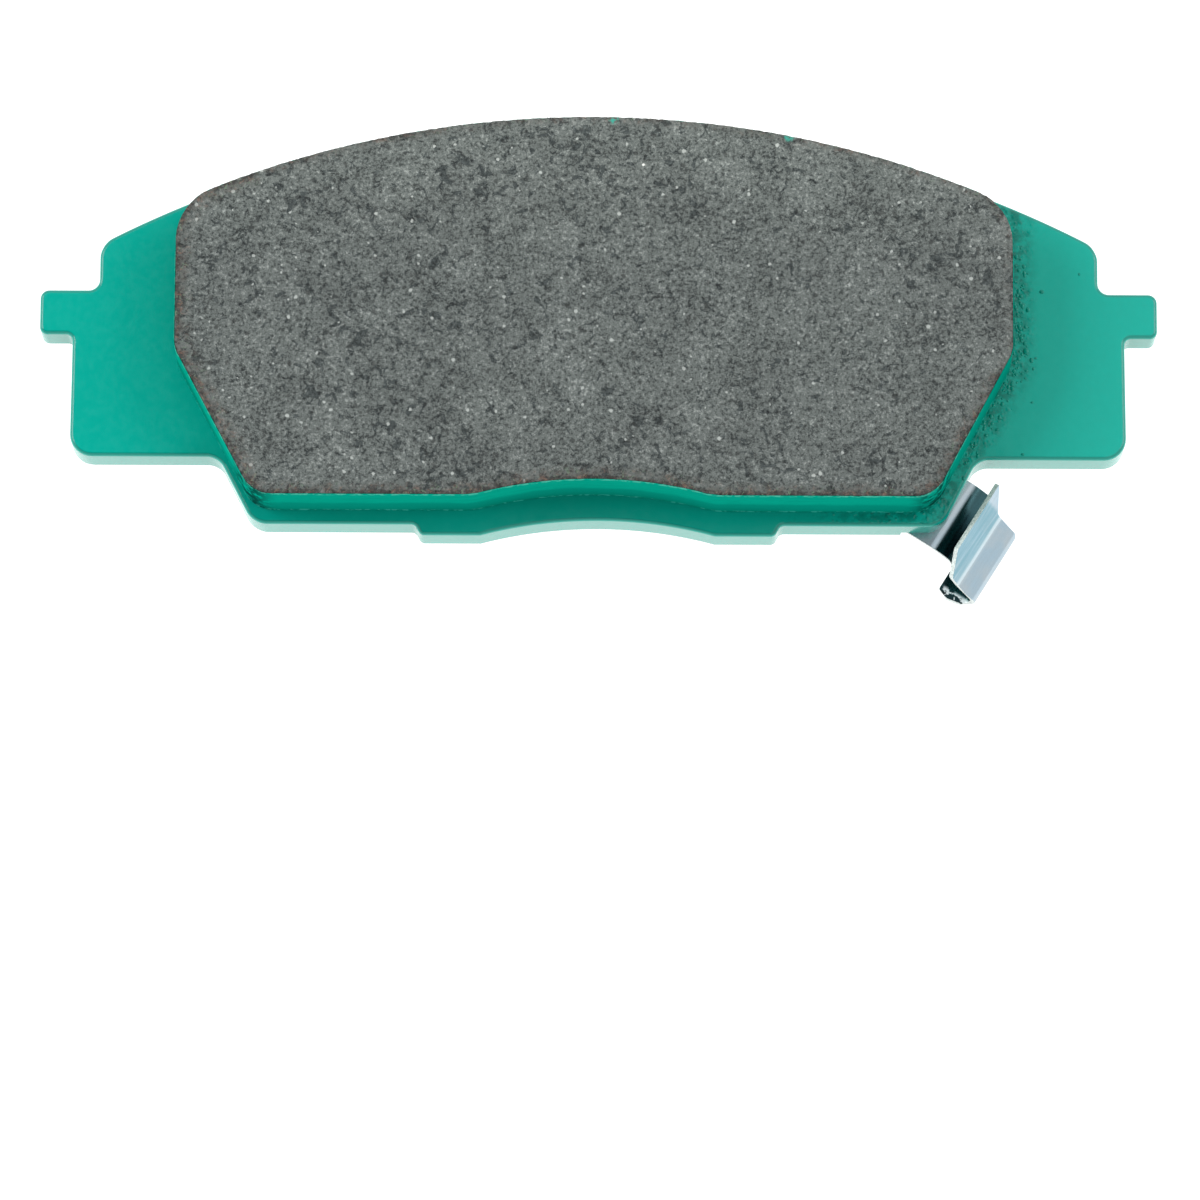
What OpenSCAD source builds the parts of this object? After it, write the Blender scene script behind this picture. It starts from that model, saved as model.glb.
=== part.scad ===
// Disc brake pad: a stamped steel backing plate, a moulded lining that is bonded and keyed to it,
// and a bent spring-steel wear indicator riveted into a pocket in the plate's back.
// Frame: the origin is on the plate's back face, on the pad's centre line. +X runs along the pad,
// +Y points away from the wheel's axle and +Z points at the brake disc.

/* [Backing plate] */
// thickness of the steel plate
plate_t = 6; // [4:0.1:8]
// radius of the plate's crowned top edge
crown_r = 141; // [100:1:200]
// height of the crown's highest point
crown_y = 27.9; // [24:0.1:32]
// distance from the centre line to each shoulder above the ears
shoulder_x = 66.7; // [60:0.1:72]
// radius where a shoulder meets the crown
shoulder_r = 3; // [1:0.1:6]
// distance from the centre line to each wing's side at the bottom
wing_x = 70.35; // [64:0.05:76]
// inward lean of a wing's side by the time it reaches the ear
wing_lean = 0.15; // [0:0.05:1]
// level of the wings' bottom edge
wing_y = -17.9; // [-22:0.1:-12]
// radius of a wing's lower corner
wing_r = 3; // [1:0.1:6]
// distance from the centre line to where a wing's bottom meets the slanted edge
flank_top_x = 50.5; // [46:0.1:56]
// radius of that inner corner
flank_top_r = 2.5; // [0.5:0.1:5]
// distance from the centre line to where the slanted edge meets the bottom edge
flank_low_x = 45.8; // [40:0.1:50]
// radius of that outer corner
flank_low_r = 3; // [0.5:0.1:6]
// level of the bottom edge
bottom_y = -27; // [-30:0.1:-24]

/* [Ears] */
// distance from the centre line to an ear's tip
ear_x = 74.6; // [72:0.1:80]
// level of an ear's upper side
ear_top = 4.8; // [2:0.1:8]
// level of an ear's lower side
ear_low = -1.27; // [-4:0.01:1]
// radius of the tip's upper corner
ear_tip_r = 1.2; // [0.2:0.1:2]
// radius of the tip's lower corner
ear_low_r = 1; // [0.2:0.1:2]
// radius of the inner corner above an ear
ear_root_r = 1.5; // [0.2:0.1:2]
// radius of the inner corner below an ear
ear_under_r = 0.9; // [0.2:0.1:2]

/* [Foot and hub relief] */
// level of the foot's lowest edge
foot_y = -28.45; // [-32:0.05:-26]
// half width of the foot at its lowest edge
foot_x = 23.5; // [16:0.1:30]
// half width of the foot where its sloped ends meet the bottom edge
foot_root_x = 24.3; // [18:0.1:34]
// radius of the relief that clears the wheel hub
relief_r = 60.4; // [40:0.1:90]
// level of the relief's highest point
relief_y = -26.4; // [-28:0.1:-22]

/* [Lining] */
// height of the lining above the plate
lining_h = 9.8; // [4:0.1:14]
// thickness of the adhesive film under the lining
film_t = 0.15; // [0.05:0.05:0.3]
// thickness of the underlayer, film not counted
under_t = 2.05; // [1:0.05:4]
// half width of the lining between its upright sides
lining_x = 55.4; // [48:0.1:60]
// sideways offset of the lining on the plate
lining_shift = -0.6; // [-1.5:0.1:1.5]
// radius of the lining's crowned top edge
lining_crown_r = 134.1; // [100:0.1:200]
// height of the lining's highest point
lining_crown_y = 26.4; // [22:0.1:30]
// radius of the lining's upper corners
lining_top_r = 7; // [1:0.1:10]
// level where an upright side turns into the slanted side
lining_kink_y = -5.3; // [-12:0.1:2]
// radius of that turn
lining_kink_r = 4; // [0.5:0.1:6]
// half width of the lining's bottom edge, measured to its sharp corners
lining_low_x = 44.9; // [38:0.1:50]
// level of the lining's bottom edge
lining_low_y = -24.95; // [-27:0.05:-20]
// radius of the lining's lower corners
lining_low_r = 4; // [1:0.1:8]
// radius of the hub relief in the lining's bottom edge
lining_relief_r = 60; // [40:1:90]
// level of that relief's highest point
lining_relief_y = -22.8; // [-25:0.1:-18]
// radius that blends the relief into the bottom edge
lining_blend_r = 10; // [2:0.5:20]

/* [Keying holes] */
// diameter of the plate's keying holes, which the underlayer fills
key_d = 11; // [6:0.5:16]
// half spacing of the inner pair
key_in_x = 14; // [8:0.5:24]
// level of the inner pair
key_in_y = 9; // [0:0.5:16]
// half spacing of the outer pair
key_out_x = 34; // [26:0.5:44]
// level of the outer pair
key_out_y = 2; // [-6:0.5:10]
// gap between a moulded plug and its hole
key_gap = 0.03; // [0.01:0.01:0.1]
// how far a plug stops short of the back face
key_recess = 0.3; // [0:0.1:1]

/* [Wear indicator] */
// thickness of the spring-steel strip
strip_t = 0.7; // [0.4:0.05:1.2]
// angle of the plate's slanted edge, which the indicator's bends follow
flank_angle = 58; // [50:0.5:70]
// place of the upper end of the indicator's tip, along X
tip_x = 52.8; // [48:0.1:58]
// place of the upper end of the indicator's tip, along Y
tip_y = -21.4; // [-26:0.1:-16]
// height of the tip's cut edge above the plate's back
tip_z = 8; // [6.5:0.1:10]
// start of the neck, measured down the slanted edge
neck_start = 0.5; // [0:0.1:3]
// width of the neck
neck_w = 10.3; // [6:0.1:14]
// length of the base that lies in the plate's pocket
base_l = 14; // [8:0.5:20]
// distance from the tip's edge line back to the plate's slanted edge
neck_l = 3.4; // [2:0.1:6]
// distance outside the slanted edge at which the joggle's slope begins, measured to its sharp corner
joggle_start = 1.05; // [0:0.05:2]
// width of the joggle between the base and the channel's bottom
joggle_l = 1.9; // [0.9:0.1:4]
// radius of the joggle's first bend
joggle_r = 4; // [0.8:0.1:6]
// start of the tip below its tongue, measured down the slanted edge
tip_start = 3; // [0:0.1:6]
// start of the channel's bottom
channel_start = 4.4; // [0:0.1:6]
// end of the channel's bottom
channel_end = 14.8; // [10:0.1:20]
// how far the middle of that end stands out
channel_bulge = 0.6; // [0:0.1:2]
// how much sooner the channel ends at its outer bend
channel_slope = 0.9; // [0:0.1:2]
// drop of the tip's cut corner at its lower end
tip_cut_h = 2; // [0:0.1:4]
// width of that cut corner
tip_cut_w = 3.3; // [0:0.1:6]
// where the channel widens past the neck
channel_step = 0.7; // [0:0.1:2]
// reach of the channel's bottom to its outer bend
channel_reach = 7.8; // [3:0.1:9]
// reach of the crease half way up the tip
crease_reach = 2.7; // [1:0.1:5]
// height of that crease
crease_z = 4.4; // [2:0.1:7]
// inside radius of the bends
bend_r = 0.8; // [0.3:0.1:2]

/* [Rivet and pocket] */
// diameter of the rivet's shank
shank_d = 4; // [3:0.1:6]
// diameter of the rivet's head
head_d = 7; // [5:0.1:9]
// thickness of the rivet's head
head_t = 0.9; // [0.5:0.1:1.5]
// diameter of the rivet's spread end, flush with the plate's front
spread_d = 6.4; // [5:0.1:8]
// depth of the countersink that the spread end fills
spread_h = 1.2; // [0.5:0.1:2]
// distance from the indicator's plate-side edge to the rivet
rivet_back = 7.6; // [5:0.1:12]
// depth of the head below the back face
head_inset = 0.1; // [0.05:0.05:0.5]
// gap around the strip in its pocket
pocket_gap = 0.5; // [0.2:0.1:1]
// gap around the rivet in its hole
rivet_gap = 0.05; // [0.02:0.01:0.1]

/* [Hidden] */
$fn = 96;
// how far a cutter runs past the face that it opens
clear = 1;
// most degrees of a corner's arc between two of its points
arc_step = 10;
face_z = plate_t + lining_h;
film_z = plate_t + film_t;
under_z = film_z + under_t;
crown_c = crown_y - crown_r;
pocket_d = head_inset + head_t + strip_t;
strip_z = pocket_d - strip_t / 2;
channel_z = strip_t / 2;
edge_reach = -neck_l;
base_reach = edge_reach - base_l;
rivet_reach = edge_reach - rivet_back;
neck_mid = neck_start + neck_w / 2;
tip_reach = 0.3;

// pieces of the assembly, from the back to the front
// the piece to draw

// ---- outlines ----

function unit(v) = v / norm(v);
function flat_part(p) = [p[0], p[1]];

// a right half, listed clockwise from the top as [x, y, corner radius], joined to its mirror image
function both_halves(half) = concat(
    half,
    [for (i = [len(half) - 1:-1:0]) [-half[i][0], half[i][1], half[i][2]]]
);

// points along the arc that rounds a corner
function corner_arc(before, corner, after, r) =
    let(
        u = unit(before - corner),
        v = unit(after - corner),
        half_angle = acos(u * v) / 2,
        centre = corner + unit(u + v) * r / sin(half_angle),
        first = unit(corner + u * r / tan(half_angle) - centre),
        second = unit(corner + v * r / tan(half_angle) - centre),
        sweep = 180 - 2 * half_angle,
        steps = ceil(sweep / arc_step)
    )
    [for (k = [0:steps])
        centre + (first * sin(sweep * (1 - k / steps)) + second * sin(sweep * k / steps)) * r / sin(sweep)];

// a closed outline, listed as [x, y, corner radius]
module rounded_outline(points) {
    count = len(points);
    polygon([for (i = [0:count - 1])
        let(
            before = flat_part(points[(i + count - 1) % count]),
            corner = flat_part(points[i]),
            after = flat_part(points[(i + 1) % count])
        )
        each points[i][2] > 0 ? corner_arc(before, corner, after, points[i][2]) : [corner]
    ]);
}

// what lies outside the arc where an upright side meets a crowned top edge
module crown_corner(side_x, crown_r, crown_centre, r) {
    centre = [side_x - r, crown_centre + sqrt(pow(crown_r - r, 2) - pow(side_x - r, 2))];
    on_crown = [0, crown_centre] + (centre - [0, crown_centre]) * crown_r / (crown_r - r);
    for (side = [0, 1]) mirror([side, 0])
        difference() {
            polygon([
                centre,
                [side_x, centre[1]],
                [side_x + clear, centre[1]],
                [side_x + clear, on_crown[1] + clear],
                [on_crown[0], on_crown[1] + clear],
                on_crown
            ]);
            translate(centre) circle(r);
        }
}

// what lies below the arc that blends a round relief into a straight bottom edge
module relief_blend(edge_y, relief_r, relief_centre, r) {
    centre = [sqrt(pow(relief_r + r, 2) - pow(edge_y + r - relief_centre, 2)), edge_y + r];
    on_relief = [0, relief_centre] + (centre - [0, relief_centre]) * relief_r / (relief_r + r);
    for (side = [0, 1]) mirror([side, 0])
        difference() {
            polygon([
                centre,
                on_relief,
                [on_relief[0], edge_y - clear],
                [centre[0], edge_y - clear]
            ]);
            translate(centre) circle(r);
        }
}

// ---- backing plate ----

module plate_outline() {
    top = crown_y + clear;
    difference() {
        intersection() {
            rounded_outline(both_halves([
                [shoulder_x, top, 0],
                [shoulder_x, ear_top, ear_root_r],
                [ear_x, ear_top, ear_tip_r],
                [ear_x, ear_low, ear_low_r],
                [wing_x - wing_lean, ear_low, ear_under_r],
                [wing_x, wing_y, wing_r],
                [flank_top_x, wing_y, flank_top_r],
                [flank_low_x, bottom_y, flank_low_r],
                [foot_root_x, bottom_y, 0.8],
                [foot_x, foot_y, 0.8]
            ]));
            translate([0, crown_c]) circle(crown_r, $fn = 256);
        }
        crown_corner(shoulder_x, crown_r, crown_c, shoulder_r);
        translate([0, relief_y - relief_r]) circle(relief_r, $fn = 256);
    }
}

module at_key_holes() {
    for (side = [-1, 1]) {
        translate([side * key_in_x, key_in_y]) children();
        translate([side * key_out_x, key_out_y]) children();
    }
}

// the indicator's own axes: its x runs outward from the slanted edge and its y runs up along it
module at_indicator() {
    translate([tip_x, tip_y]) rotate(flank_angle - 90) children();
}

module at_rivet() {
    at_indicator() translate([rivet_reach, -neck_mid]) children();
}

module indicator_pocket() {
    at_indicator() translate([base_reach - pocket_gap, -neck_start - neck_w - pocket_gap, -clear])
        cube([base_l + pocket_gap + neck_l, neck_w + 2 * pocket_gap, clear + pocket_d]);
}

module rivet_hole() {
    hole_d = shank_d + 2 * rivet_gap;
    flare = (spread_d - shank_d) / spread_h;
    at_rivet() {
        translate([0, 0, -clear]) cylinder(d = hole_d, h = plate_t + 2 * clear);
        translate([0, 0, plate_t - spread_h])
            cylinder(d1 = hole_d, d2 = hole_d + flare * (spread_h + clear), h = spread_h + clear);
    }
}

module backing_plate() {
    color([0.09, 0.66, 0.57])
    difference() {
        linear_extrude(plate_t) plate_outline();
        at_key_holes() translate([0, 0, -clear]) cylinder(d = key_d, h = plate_t + 2 * clear);
        indicator_pocket();
        rivet_hole();
    }
}

// ---- wear indicator ----

// middle line of the strip across its bends, as [reach, height, bend radius]
strip_path = [
    [base_reach, strip_z, 0],
    [edge_reach + joggle_start, strip_z, joggle_r],
    [edge_reach + joggle_start + joggle_l, channel_z, bend_r],
    [channel_reach - strip_t / 2, channel_z, bend_r + strip_t / 2],
    [crease_reach, crease_z, 2 * bend_r],
    [tip_reach, tip_z, 0]
];

// the corner of a line that runs beside a path at distance d, with its radius on that side
function beside(path, i, d) =
    let(
        last = len(path) - 1,
        before = flat_part(path[max(i - 1, 0)]),
        here = flat_part(path[i]),
        after = flat_part(path[min(i + 1, last)]),
        into = unit(i == 0 ? after - here : here - before),
        out = unit(i == last ? here - before : after - here),
        mitre = unit([-into[1] - out[1], into[0] + out[0]]),
        bend = into[0] * out[1] - into[1] * out[0],
        place = here + mitre * d / (mitre * [-into[1], into[0]])
    )
    [place[0], place[1], path[i][2] > 0 ? path[i][2] - sign(bend) * d : 0];

// cross section of a strip of thickness t that follows a path
module bent_strip(path, t) {
    last = len(path) - 1;
    rounded_outline(concat(
        [for (i = [0:last]) beside(path, i, t / 2)],
        [for (i = [last:-1:0]) beside(path, i, -t / 2)]
    ));
}

// turns a cross section drawn as reach and height so that it runs down the slanted edge
module along_flank(length) {
    rotate([90, 0, 0]) linear_extrude(length) children();
}

// the flat strip in plan: base and neck, then the wider channel
module strip_plan() {
    neck_end = neck_start + neck_w;
    far = channel_reach + clear;
    channel_w = channel_reach - channel_step;
    rounded_outline([
        [base_reach - clear, -neck_start, 0],
        [channel_step, -neck_start, 0],
        [channel_step, -channel_start, 0.5],
        [far, -channel_start, 0],
        [far, channel_slope - channel_end, 0],
        [channel_step + 0.7 * channel_w, -channel_end - channel_bulge + 0.2, 1.2],
        [channel_step + 0.3 * channel_w, -channel_end - channel_bulge, 1.2],
        [channel_step, -channel_end, 0.3],
        [channel_step, -neck_end, 1.2],
        [base_reach - clear, -neck_end, 0]
    ]);
}

// the tip seen square to the slanted edge: a tongue at its upper end, a cut corner at its lower end
module tip_side() {
    low_end = channel_end - 1;
    rounded_outline([
        [channel_start, strip_t + 0.1, 0],
        [tip_start + 0.4, crease_z / 2, 1],
        [tip_start, crease_z + 0.9, 1],
        [0, tip_z, 0],
        [0, tip_z + clear, 0],
        [low_end - tip_cut_w, tip_z + clear, 0],
        [low_end - tip_cut_w, tip_z, 0],
        [low_end, tip_z - tip_cut_h, 0.6],
        [channel_end - channel_slope / 2, strip_t + 0.1, 0]
    ]);
}

module wear_indicator() {
    color([0.72, 0.78, 0.82])
    at_indicator()
    difference() {
        intersection() {
            along_flank(channel_end + clear) bent_strip(strip_path, strip_t);
            union() {
                translate([0, 0, -clear]) linear_extrude(clear + pocket_d) strip_plan();
                translate([-clear, 0, 0]) rotate([90, 0, 90]) mirror([1, 0])
                    linear_extrude(channel_reach + 2 * clear) tip_side();
            }
        }
        translate([rivet_reach, -neck_mid, -clear])
            cylinder(d = shank_d + 2 * rivet_gap, h = pocket_d + 2 * clear);
    }
}

// ---- rivet ----

module indicator_rivet() {
    color([0.62, 0.64, 0.66])
    at_rivet() rotate_extrude() polygon([
        [0, head_inset],
        [head_d / 2 - 0.3, head_inset],
        [head_d / 2, head_inset + 0.3],
        [head_d / 2, head_inset + head_t],
        [shank_d / 2, head_inset + head_t],
        [shank_d / 2, plate_t - spread_h],
        [spread_d / 2, plate_t],
        [0, plate_t]
    ]);
}

// ---- lining ----

module lining_outline() {
    centre = lining_crown_y - lining_crown_r;
    relief_c = lining_relief_y - lining_relief_r;
    translate([lining_shift, 0])
    difference() {
        intersection() {
            rounded_outline(both_halves([
                [lining_x, lining_crown_y + clear, 0],
                [lining_x, lining_kink_y, lining_kink_r],
                [lining_low_x, lining_low_y, lining_low_r]
            ]));
            translate([0, centre]) circle(lining_crown_r, $fn = 256);
        }
        crown_corner(lining_x, lining_crown_r, centre, lining_top_r);
        translate([0, relief_c]) circle(lining_relief_r, $fn = 256);
        relief_blend(lining_low_y, lining_relief_r, relief_c, lining_blend_r);
    }
}

// adhesive film between the plate and the lining
module bond_film() {
    color([0.32, 0.24, 0.16])
    translate([0, 0, plate_t])
    difference() {
        linear_extrude(film_t) lining_outline();
        at_key_holes() translate([0, 0, -clear]) cylinder(d = key_d, h = film_t + 2 * clear);
    }
}

// layer that insulates and sticks, with a plug down each of the plate's keying holes
module underlayer() {
    color([0.42, 0.36, 0.31])
    union() {
        translate([0, 0, film_z]) linear_extrude(under_t) lining_outline();
        at_key_holes() translate([0, 0, key_recess])
            cylinder(d = key_d - 2 * key_gap, h = film_z - key_recess + under_t / 2);
    }
}

// the wearing layer, ground flat on its front
module friction_block() {
    color([0.43, 0.44, 0.43])
    translate([0, 0, under_z]) linear_extrude(face_z - under_z) lining_outline();
}

backing_plate();
indicator_rivet();
wear_indicator();
bond_film();
underlayer();
friction_block();
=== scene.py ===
"""A disc brake pad: stamped and painted plate, moulded lining, zinc-plated wear indicator and its rivet.

Metres throughout. The lining's face looks up, along +Z, and the plate's back lies on the floor.
"""

import math
import random

import bmesh
import bpy
from mathutils import Matrix, Vector, noise


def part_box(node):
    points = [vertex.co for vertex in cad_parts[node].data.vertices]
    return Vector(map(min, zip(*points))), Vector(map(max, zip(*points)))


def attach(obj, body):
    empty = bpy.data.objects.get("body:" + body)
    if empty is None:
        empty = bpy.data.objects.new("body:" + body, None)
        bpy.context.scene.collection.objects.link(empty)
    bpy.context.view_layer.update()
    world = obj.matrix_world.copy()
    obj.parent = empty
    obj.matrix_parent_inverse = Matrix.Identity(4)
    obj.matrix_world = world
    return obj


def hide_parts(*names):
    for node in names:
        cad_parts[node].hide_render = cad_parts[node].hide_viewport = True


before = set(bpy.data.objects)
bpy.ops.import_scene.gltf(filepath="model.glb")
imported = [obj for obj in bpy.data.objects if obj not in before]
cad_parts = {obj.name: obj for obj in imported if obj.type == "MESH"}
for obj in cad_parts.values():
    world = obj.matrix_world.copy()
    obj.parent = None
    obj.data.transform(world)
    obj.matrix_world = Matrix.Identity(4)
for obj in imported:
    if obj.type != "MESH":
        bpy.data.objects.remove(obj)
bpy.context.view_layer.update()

MM = 0.001


# ---------------------------------------------------------------- sizes, from the frame where it has them

def box_mm(node):
    """Lowest and highest corner of a CAD node, in millimetres."""
    low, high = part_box(node)
    return [v / MM for v in low], [v / MM for v in high]


PLATE_LOW, PLATE_HIGH = box_mm("backing_plate")
BLOCK_LOW, BLOCK_HIGH = box_mm("friction_block")
UNDER_LOW = box_mm("underlayer")[0]
RIVET_LOW, RIVET_HIGH = box_mm("indicator_rivet")

PLATE_T = PLATE_HIGH[2]
EAR_X = PLATE_HIGH[0]
FOOT_Y = PLATE_LOW[1]
CROWN_Y = PLATE_HIGH[1]
CROWN_R = 141.0
FACE_Z = BLOCK_HIGH[2]
UNDER_Z = BLOCK_LOW[2]
FILM_T = 0.15
FILM_Z = PLATE_T + FILM_T
LINING_SHIFT = (BLOCK_LOW[0] + BLOCK_HIGH[0]) / 2
LINING_X = (BLOCK_HIGH[0] - BLOCK_LOW[0]) / 2
LINING_CROWN_Y = BLOCK_HIGH[1]
LINING_CROWN_R = 134.1
LINING_LOW_Y = BLOCK_LOW[1]

# the lining's right side: where it turns inward, and where that slanted stretch meets the lower edge
LINING_TURN = (55.4, -5.3)
LINING_CORNER = (44.9, -24.95)
LINING_SLANT = math.atan2(LINING_TURN[0] - LINING_CORNER[0], LINING_TURN[1] - LINING_CORNER[1])

# the hollow in the lining's lower edge: its radius, and the height of its centre
LINING_HOLLOW_R = 60
LINING_HOLLOW_Y = -22.8 - LINING_HOLLOW_R

# keying holes: centre x, centre y, radius
KEY_HOLE_R = 5.5
KEY_HOLES = [(side * x, y, KEY_HOLE_R) for x, y in ((14, 9), (34, 2)) for side in (-1, 1)]

# how finely a surface that carries relief is divided
RELIEF_PITCH = 0.45

RIVET_X = (RIVET_LOW[0] + RIVET_HIGH[0]) / 2
RIVET_Y = (RIVET_LOW[1] + RIVET_HIGH[1]) / 2
RIVET_HEAD_R = (RIVET_HIGH[0] - RIVET_LOW[0]) / 2
RIVET_R = 2

# the wear indicator's own axes: u runs outward from the plate's slanted edge, v runs down along it
TIP = Vector((52.8, -21.4))
SLANT = math.radians(58 - 90)
OUTWARD = Vector((math.cos(SLANT), math.sin(SLANT)))
DOWNWARD = Vector((math.sin(SLANT), -math.cos(SLANT)))
STRIP_T = 0.7
BASE_U = -17.4
BASE_MIDDLE_V = 5.65
RIVET_U = -11.0
POCKET_DEEP = 1.7
POCKET_LONG = 17.9
POCKET_WIDE = 11.3


# ---------------------------------------------------------------- mesh helpers

def arc(centre_y, radius, x_from, x_to, steps):
    """Points of an arc about (0, centre_y), above it for a positive radius and below for a negative one."""
    points = []
    for i in range(steps + 1):
        x = x_from + (x_to - x_from) * i / steps
        points.append((x, centre_y + math.copysign(math.sqrt(radius ** 2 - x ** 2), radius), 0))
    return points


def both_halves(half):
    """A right half as (x, y, corner radius), clockwise from the top, joined to its mirror image."""
    return half + [(-x, y, r) for x, y, r in reversed(half) if x > 0]


def outline_mesh(points, z, segments=8):
    """A flat face whose corners are rounded to the radius that each point states."""
    bm = bmesh.new()
    verts = [bm.verts.new((x, y, z)) for x, y, _ in points]
    bm.faces.new(verts)
    for i, (x, y, radius) in enumerate(points):
        if radius <= 0:
            continue
        corner = Vector((x, y))
        before = Vector(points[i - 1][:2]) - corner
        after = Vector(points[(i + 1) % len(points)][:2]) - corner
        reach = radius / math.tan(before.angle(after) / 2)
        bmesh.ops.bevel(bm, geom=[verts[i]], offset=reach, offset_type="OFFSET", segments=segments,
                        profile=0.5, affect="VERTICES", material=-1)
    bmesh.ops.recalc_face_normals(bm, faces=bm.faces)
    if bm.faces[:][0].normal.z < 0:
        bmesh.ops.reverse_faces(bm, faces=bm.faces)
    return bm


def raise_face(bm, height):
    """Turns a flat mesh into a closed slab of that height, upward from where it lies."""
    bottom = bm.faces[:]
    made = bmesh.ops.extrude_face_region(bm, geom=bottom, use_keep_orig=True)
    top = [v for v in made["geom"] if isinstance(v, bmesh.types.BMVert)]
    bmesh.ops.translate(bm, verts=top, vec=(0, 0, height))
    bmesh.ops.reverse_faces(bm, faces=bottom)
    bmesh.ops.recalc_face_normals(bm, faces=bm.faces)


def level_edges(bm, z):
    """The sharp edges that lie at one height."""
    found = []
    for edge in bm.edges:
        if all(abs(v.co.z - z) < 1e-4 for v in edge.verts) and len(edge.link_faces) == 2:
            if edge.calc_face_angle() > 0.7:
                found.append(edge)
    return found


def slice_across(bm, axis, at, snap):
    """Cuts a mesh through, square to an axis. Points within the snap distance count as on the cut."""
    place = [0, 0, 0]
    place[axis] = at
    normal = [0, 0, 0]
    normal[axis] = 1
    bmesh.ops.bisect_plane(bm, geom=bm.verts[:] + bm.edges[:] + bm.faces[:], dist=snap,
                           plane_co=place, plane_no=normal)


def round_edges(bm, edges, size, segments):
    """Rounds edges over a width on each side of them."""
    bmesh.ops.bevel(bm, geom=edges, offset=size, offset_type="OFFSET", segments=segments,
                    profile=0.5, affect="EDGES", material=-1, clamp_overlap=True)


def finish_piece(bm, name, material, node=None, smooth_angle=35, even=True):
    """Makes a piece from a mesh in millimetres, and ties it to the frame."""
    bmesh.ops.scale(bm, vec=(MM, MM, MM), verts=bm.verts)
    mesh = bpy.data.meshes.new(name)
    bm.to_mesh(mesh)
    bm.free()
    piece = bpy.data.objects.new(name, mesh)
    bpy.context.scene.collection.objects.link(piece)
    for face in mesh.polygons:
        face.use_smooth = True
    mesh.set_sharp_from_angle(angle=math.radians(smooth_angle))
    if even:
        evened = piece.modifiers.new("even_normals", "WEIGHTED_NORMAL")
        evened.keep_sharp = True
    mesh.materials.append(material)
    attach(piece, "root")
    if node:
        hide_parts(node)
    return piece


def cut_with(bm, cutters):
    """The mesh with each cutter's shape taken out of it."""
    body = bpy.data.objects.new("body", bpy.data.meshes.new("body"))
    bpy.context.scene.collection.objects.link(body)
    bm.to_mesh(body.data)
    tools = []
    for cutter in cutters:
        tool = bpy.data.objects.new("tool", bpy.data.meshes.new("tool"))
        bpy.context.scene.collection.objects.link(tool)
        cutter.to_mesh(tool.data)
        cutter.free()
        cut = body.modifiers.new("cut", "BOOLEAN")
        cut.operation = "DIFFERENCE"
        cut.solver = "EXACT"
        cut.object = tool
        tools.append(tool)
    bpy.context.view_layer.update()
    result = body.evaluated_get(bpy.context.evaluated_depsgraph_get()).to_mesh()
    bm.clear()
    bm.from_mesh(result)
    for extra in [body] + tools:
        used = extra.data
        bpy.data.objects.remove(extra)
        bpy.data.meshes.remove(used)
    bmesh.ops.remove_doubles(bm, verts=bm.verts, dist=1e-4)


def round_tool(x, y, low_r, high_r, low, high, segments=96):
    """A round cutter or post between two heights."""
    bm = bmesh.new()
    place = Matrix.Translation((x, y, (low + high) / 2))
    bmesh.ops.create_cone(bm, cap_ends=True, segments=segments, radius1=low_r, radius2=high_r,
                          depth=high - low, matrix=place)
    return bm


def indicator_point(u, v, z):
    """A point given in the indicator's own axes."""
    flat = TIP + OUTWARD * u + DOWNWARD * v
    return Vector((flat.x, flat.y, z))


# ---------------------------------------------------------------- outlines

def plate_points():
    """The plate's outline: its right half, from the crown to the hub relief, and the mirror image."""
    crown_c = CROWN_Y - CROWN_R
    shoulder_x = 66.7
    ear_top = 4.8
    ear_low = -1.27
    wing_low = -17.9
    step_y = -27
    relief_r = 60.4
    relief_c = -26.4 - relief_r
    crown = arc(crown_c, CROWN_R, 0, shoulder_x - 3, 40)
    shoulder = (shoulder_x, crown_c + math.sqrt(CROWN_R ** 2 - shoulder_x ** 2), 3)
    relief_x = math.sqrt(relief_r ** 2 - (FOOT_Y - relief_c) ** 2)
    relief = arc(relief_c, relief_r, relief_x, 0, 16)
    return both_halves(crown + [
        shoulder,
        (shoulder_x, ear_top, 1.5),
        (EAR_X, ear_top, 1.2),
        (EAR_X, ear_low, 1.0),
        (70.2, ear_low, 0.9),
        (70.35, wing_low, 3),
        (50.5, wing_low, 2.5),
        (45.8, step_y, 3),
        (24.3, step_y, 0.8),
        (23.5, FOOT_Y, 0.8),
    ] + relief)


def lining_points(inset=0.0):
    """The lining's outline, drawn in by an inset."""
    crown_c = LINING_CROWN_Y - LINING_CROWN_R
    crown_r = LINING_CROWN_R - inset
    side_x = LINING_X - inset
    low_y = LINING_LOW_Y + inset
    hollow_r = LINING_HOLLOW_R + inset
    corner_y = crown_c + math.sqrt(crown_r ** 2 - side_x ** 2)
    turn_y = LINING_TURN[1] + inset * math.tan(LINING_SLANT / 2)
    low_x = LINING_CORNER[0] - inset * (1 - math.sin(LINING_SLANT)) / math.cos(LINING_SLANT)
    hollow_x = math.sqrt(hollow_r ** 2 - (low_y - LINING_HOLLOW_Y) ** 2)
    crown = arc(crown_c, crown_r, 0, side_x - 6, 40)
    hollow = arc(LINING_HOLLOW_Y, hollow_r, hollow_x, 0, 12)[1:]
    half = crown + [
        (side_x, corner_y, 7 - inset),
        (side_x, turn_y, 4),
        (low_x, low_y, 4 - inset),
        (hollow_x, low_y, 10),
    ] + hollow
    return [(x + LINING_SHIFT, y, r) for x, y, r in both_halves(half)]


# ---------------------------------------------------------------- shader helpers

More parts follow.
